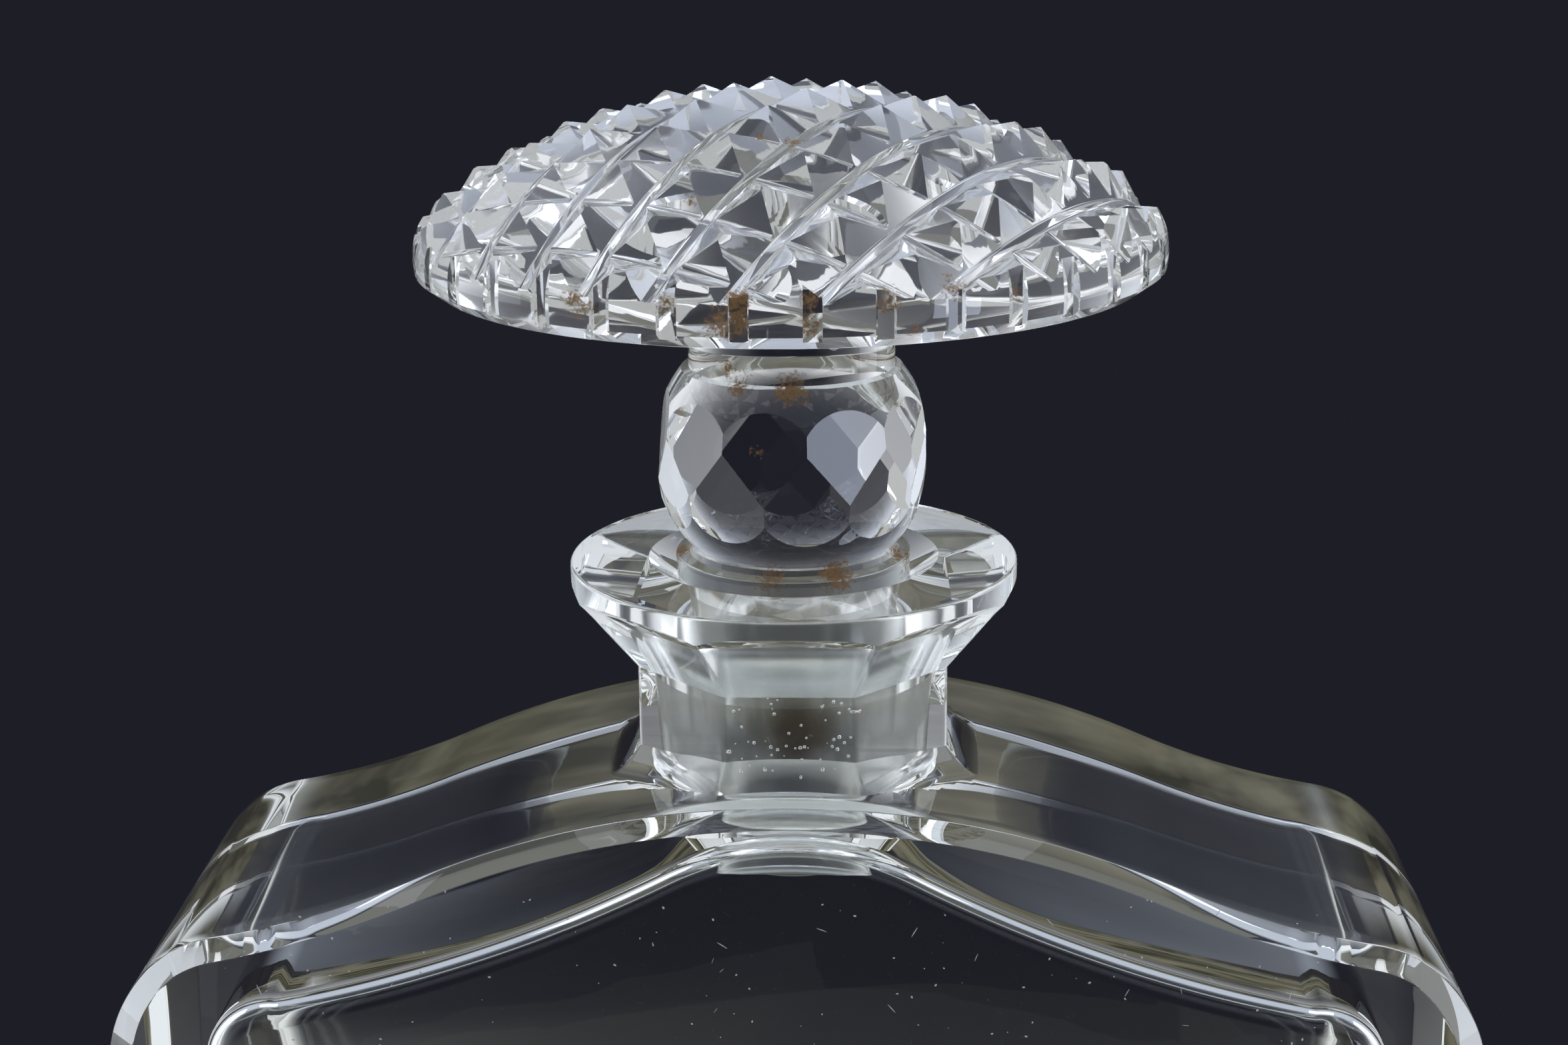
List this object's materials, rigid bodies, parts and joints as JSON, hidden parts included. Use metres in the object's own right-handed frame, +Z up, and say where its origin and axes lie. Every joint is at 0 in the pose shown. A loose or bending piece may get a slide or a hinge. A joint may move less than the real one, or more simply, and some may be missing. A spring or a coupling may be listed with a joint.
{
  "type": "perfume bottle",
  "caption": "Cut-glass perfume flask with ogee shoulders, an eight-sided neck and a ground stopper with a diamond-cut mushroom crown.",
  "frame": {"origin": "centre of the resting face", "axes": "+Z up along the neck, X across the flask, front panel facing -Y"},
  "size_m": [0.0808, 0.0436, 0.1256],
  "materials": {
    "flask_crystal": "polished lead crystal",
    "stopper_crystal": "cut and polished lead crystal with a ground plug"
  },
  "bodies": {
    "bottle": {"bottle": "flask_crystal"},
    "stopper": {"stopper": "stopper_crystal"}
  },
  "joints": [
    {"name": "stopper_lift", "type": "slide", "parent": "bottle", "child": "stopper", "axis": [0, 0, 1], "range_m": [0, 0.03]}
  ]
}
